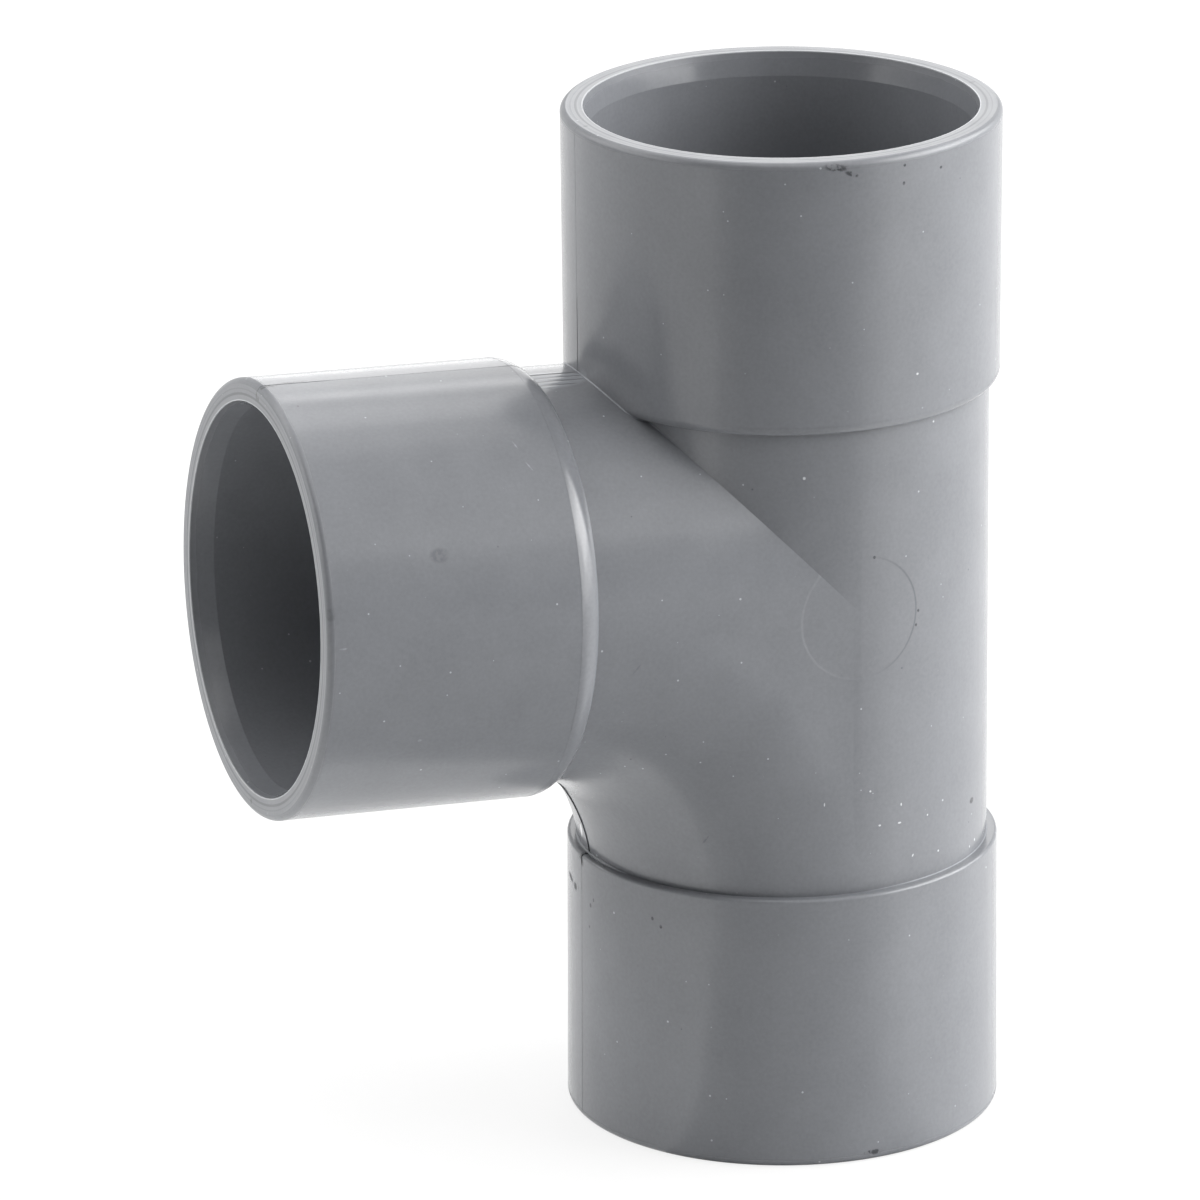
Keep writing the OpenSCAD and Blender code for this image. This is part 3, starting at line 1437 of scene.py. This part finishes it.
@dataclass(frozen=True)
class SoftBox:
    """One soft box or lit panel of the studio, which faces the tee.

    Attributes:
        name: what it is.
        azimuth: degrees from +X towards +Y.
        elevation: degrees above the floor.
        distance: how far its middle is from the tee.
        width: its width.
        height: its height.
        brightness: how bright its face is, where 1 is white.
    """

    name: str
    azimuth: float
    elevation: float
    distance: float
    width: float
    height: float
    brightness: float

    def hang(self, target: Vector) -> bpy.types.Object:
        """Makes the lamp and turns it to its target.

        Args:
            target: the point that it faces.

        Returns:
            The lamp.
        """
        data = bpy.data.lights.new(self.name, "AREA")
        data.shape = "RECTANGLE"
        data.size = self.width
        data.size_y = self.height
        data.energy = self.brightness * math.pi * self.width * self.height
        lamp = bpy.data.objects.new(self.name, data)
        offset = towards(self.azimuth, self.elevation)
        lamp.rotation_mode = "QUATERNION"
        lamp.rotation_quaternion = (-offset).to_track_quat("-Z", "Y")
        lamp.location = target + offset * self.distance
        lamp.visible_camera = False
        bpy.context.scene.collection.objects.link(lamp)
        return lamp


class SeenBy(Enum):
    """The light that a dark card takes away."""

    GLOSS = "what the tee's gloss reflects"
    BOUNCE = "what the floor throws up at the tee"


@dataclass(frozen=True)
class DarkCard:
    """A black card on the floor before the tee, out of the camera's sight.

    It stands for the dark that lay on that side of the real one.

    Attributes:
        name: the card's name.
        seen_by: the light that it takes away.
        azimuth: the direction in which the card lies, in degrees.
        apex: how far from the tee's axis its corner is.
        fade: angles from the card's middle, from the left to the right, at which it starts to
            come in, is all there, starts to go and is gone.
        side: length of a side.
        cells: how many cells a side is divided into.
        drop_mm: how far under the lower rim it lies.
        tones: its darker and its lighter colour.
        flock_mm: size of its flock, drawn coarser than real flock.
    """

    name: str
    seen_by: SeenBy
    azimuth: float
    apex: float
    fade: tuple[float, float, float, float]
    side: float = 2.4
    cells: int = 4
    drop_mm: float = 0.01
    tones: tuple[str, str] = ("#101010", "#1A1A1A")
    flock_mm: float = 2.5

    def finish(self) -> bpy.types.Material:
        """Makes the card's finish: black flock, matt and plain dark, with fading edges.

        Returns:
            The material.
        """
        material = bpy.data.materials.new("flock_card_black")
        tree = emptied(material)
        place = {"Vector": add_node(tree, "TexCoord").outputs["Object"]}
        heading = {"vector_type": "TEXTURE", "Rotation": (0.0, 0.0, math.radians(self.azimuth))}
        local = add_node(tree, "SeparateXYZ", None, {0: add_node(tree, "Mapping", heading, place)})
        across = {0: local.outputs["Y"], 1: local.outputs["X"]}
        angle = add_node(tree, "Math", {"operation": "ARCTAN2"}, across)
        gone_left, full_left, full_right, gone_right = map(math.radians, self.fade)
        coming = {"From Min": gone_left, "From Max": full_left}
        left = add_node(tree, "MapRange", coming, {"Value": angle})
        going = {"From Min": gone_right, "From Max": full_right}
        right = add_node(tree, "MapRange", going, {"Value": angle})
        cover = add_node(tree, "Math", {"operation": "MULTIPLY"}, {0: left, 1: right})
        flock = add_node(tree, "TexNoise", {"Scale": 1 / (self.flock_mm * MM)}, place)
        dark, light = map(linear_colour, self.tones)
        tone = add_node(tree, "Mix", {"data_type": "RGBA", 6: dark, 7: light}, {0: flock})
        matt = add_node(tree, "BsdfDiffuse", None, {"Color": tone.outputs[2]})
        clear = add_node(tree, "BsdfTransparent")
        mixed = add_node(tree, "MixShader", None, {0: cover, 1: clear, 2: matt})
        add_node(tree, "OutputMaterial", None, {"Surface": mixed})
        return material

    def form(self) -> bmesh.types.BMesh:
        """Cuts the card to a square that lies with one corner towards the tee.

        Returns:
            The square.
        """
        form = bmesh.new()
        half = self.side / 2
        bmesh.ops.create_grid(form, x_segments=self.cells, y_segments=self.cells, size=half)
        middle = self.apex + self.side * math.sqrt(0.5)
        turn = Matrix.Rotation(math.radians(self.azimuth), 4, "Z")
        place = turn @ Matrix.Translation((middle, 0.0, -self.drop_mm * MM))
        corner_first = place @ Matrix.Rotation(math.radians(45), 4, "Z")
        bmesh.ops.transform(form, matrix=corner_first, verts=form.verts)
        return form


@dataclass
class Studio:
    """The plain studio: paper floor, soft boxes, dark cards and the camera.

    Attributes:
        room: how bright the room is from everywhere.
        boxes: the soft boxes and lit panels.
        cards: the dark cards.
        floor_radius: how far the paper reaches.
        floor_drop_mm: how far under the lower rim it lies.
    """

    room: float = 0.03
    boxes: tuple[SoftBox, ...] = (
        SoftBox("key_box", 330.7, 18.5, 1.2, 1.34, 0.83, 3.8),
        SoftBox("key_screen", 348.6, 31.8, 1.2, 1.48, 0.84, 4.48),
        SoftBox("left_panel", 160.3, 49.6, 1.2, 0.86, 1.28, 0.86),
        SoftBox("left_low_panel", 162.0, 21.1, 1.2, 1.45, 0.58, 2.3),
        SoftBox("left_back_panel", 127.0, 33.0, 1.2, 0.50, 0.90, 0.9),
        SoftBox("backdrop_left", 102.0, 14.0, 1.3, 1.20, 0.62, 0.85),
        SoftBox("backdrop_right", 32.0, 14.0, 1.3, 1.10, 0.62, 0.85),
        SoftBox("back_strip", 65.7, 18.5, 1.2, 0.36, 0.92, 1.95),
        SoftBox("back_panel", 89.7, 52.1, 1.4, 2.14, 0.86, 1.72),
        SoftBox("top_panel", 300.0, 65.0, 1.3, 1.6, 1.6, 0.88),
        SoftBox("top_back_panel", 60.3, 81.4, 1.3, 0.70, 1.76, 0.92),
    )
    cards: tuple[DarkCard, ...] = (
        DarkCard("dark_card", SeenBy.GLOSS, 260.0, 0.0, (-65.0, -28.0, 22.0, 46.0)),
        DarkCard("dark_apron", SeenBy.BOUNCE, 256.0, 0.12, (-60.0, -50.0, 50.0, 60.0)),
    )
    floor_radius: float = 12.0
    floor_drop_mm: float = 0.02

    TARGET = Vector((-0.018, 0.0, 0.055))
    EYE = Vector((-0.359159, -0.881177, 0.375460))
    AZIMUTH = -111.0203
    ELEVATION = 18.5967
    ROLL = 0.4210
    LENS = 285.224
    SENSOR = 36.0
    NEAREST = 0.05

    def build_floor(self) -> bpy.types.Object:
        """Builds the paper floor, a disc that lies a hair under the lower rim.

        Returns:
            The floor.
        """
        form = bmesh.new()
        bmesh.ops.create_circle(form, cap_ends=True, segments=96, radius=self.floor_radius)
        bmesh.ops.translate(form, verts=form.verts, vec=(0.0, 0.0, -self.floor_drop_mm * MM))
        return self.staged("floor", form, StudioPaper().make())

    def build_card(self, card: DarkCard) -> bpy.types.Object:
        """Lays a dark card, hidden from all but the light that it takes away.

        Args:
            card: the card.

        Returns:
            Its object.
        """
        piece = self.staged(card.name, card.form(), card.finish())
        piece.visible_camera = False
        piece.visible_diffuse = card.seen_by is SeenBy.BOUNCE
        piece.visible_glossy = card.seen_by is SeenBy.GLOSS
        piece.visible_shadow = False
        return piece

    def staged(self, name: str, form: bmesh.types.BMesh, finish: bpy.types.Material) -> bpy.types.Object:
        """Turns a form into an object that is part of the stage.

        Args:
            name: the object's name.
            form: its mesh, which is freed.
            finish: its material.

        Returns:
            The object.
        """
        piece = shown(name, meshed(name, form), finish)
        return piece

    def light(self) -> None:
        """Hangs the boxes, and gives the room its plain low light."""
        for box in self.boxes:
            box.hang(self.TARGET)
        world = bpy.data.worlds.new("room")
        tree = emptied(world)
        sky = add_node(tree, "Background", {"Strength": self.room})
        add_node(tree, "OutputWorld", None, {"Surface": sky})
        bpy.context.scene.world = world

    def place_camera(self) -> bpy.types.Object:
        """Places the camera where the photograph was taken from.

        Returns:
            The camera.
        """
        ahead = -towards(self.AZIMUTH, self.ELEVATION)
        right = ahead.cross(Vector((0.0, 0.0, 1.0))).normalized()
        up = right.cross(ahead)
        level = Matrix((right, up, -ahead)).transposed().to_4x4()
        turned = level @ Matrix.Rotation(-math.radians(self.ROLL), 4, "Z")
        data = bpy.data.cameras.new("camera")
        data.lens = self.LENS
        data.sensor_width = self.SENSOR
        data.sensor_fit = "HORIZONTAL"
        data.clip_start = self.NEAREST
        camera = bpy.data.objects.new("camera", data)
        camera.matrix_world = Matrix.Translation(self.EYE) @ turned
        bpy.context.scene.collection.objects.link(camera)
        bpy.context.scene.camera = camera
        return camera

    def build(self) -> None:
        """Sets up the floor, the cards, the light and the camera."""
        self.build_floor()
        for card in self.cards:
            self.build_card(card)
        self.light()
        self.place_camera()
        bpy.context.scene.view_settings.view_transform = "Standard"


def main() -> None:
    """Builds the pieces in order, reports each, and sets up the studio."""
    logging.basicConfig(level=logging.INFO, format="%(name)s: %(message)s")
    mounts = frame["record"]["mounts"]
    mouths = tuple(Mouth.from_mount(mount) for mount in mounts if mount["kind"] == "bore")
    node = frame["nodes"][MOULDING]
    assemblies = (
        Moulding(node, mouths),
        RoundedEdges(node, mouths),
        PartingLine(node, mouths),
        CreaseFillets(node, mouths),
    )
    for assembly in assemblies:
        for piece in assembly.dress():
            faces = len(piece.data.polygons)
            LOG.info("%s: %s, %d faces", type(assembly).__name__, piece.name, faces)
    Studio().build()


if __name__ == "__main__":
    main()
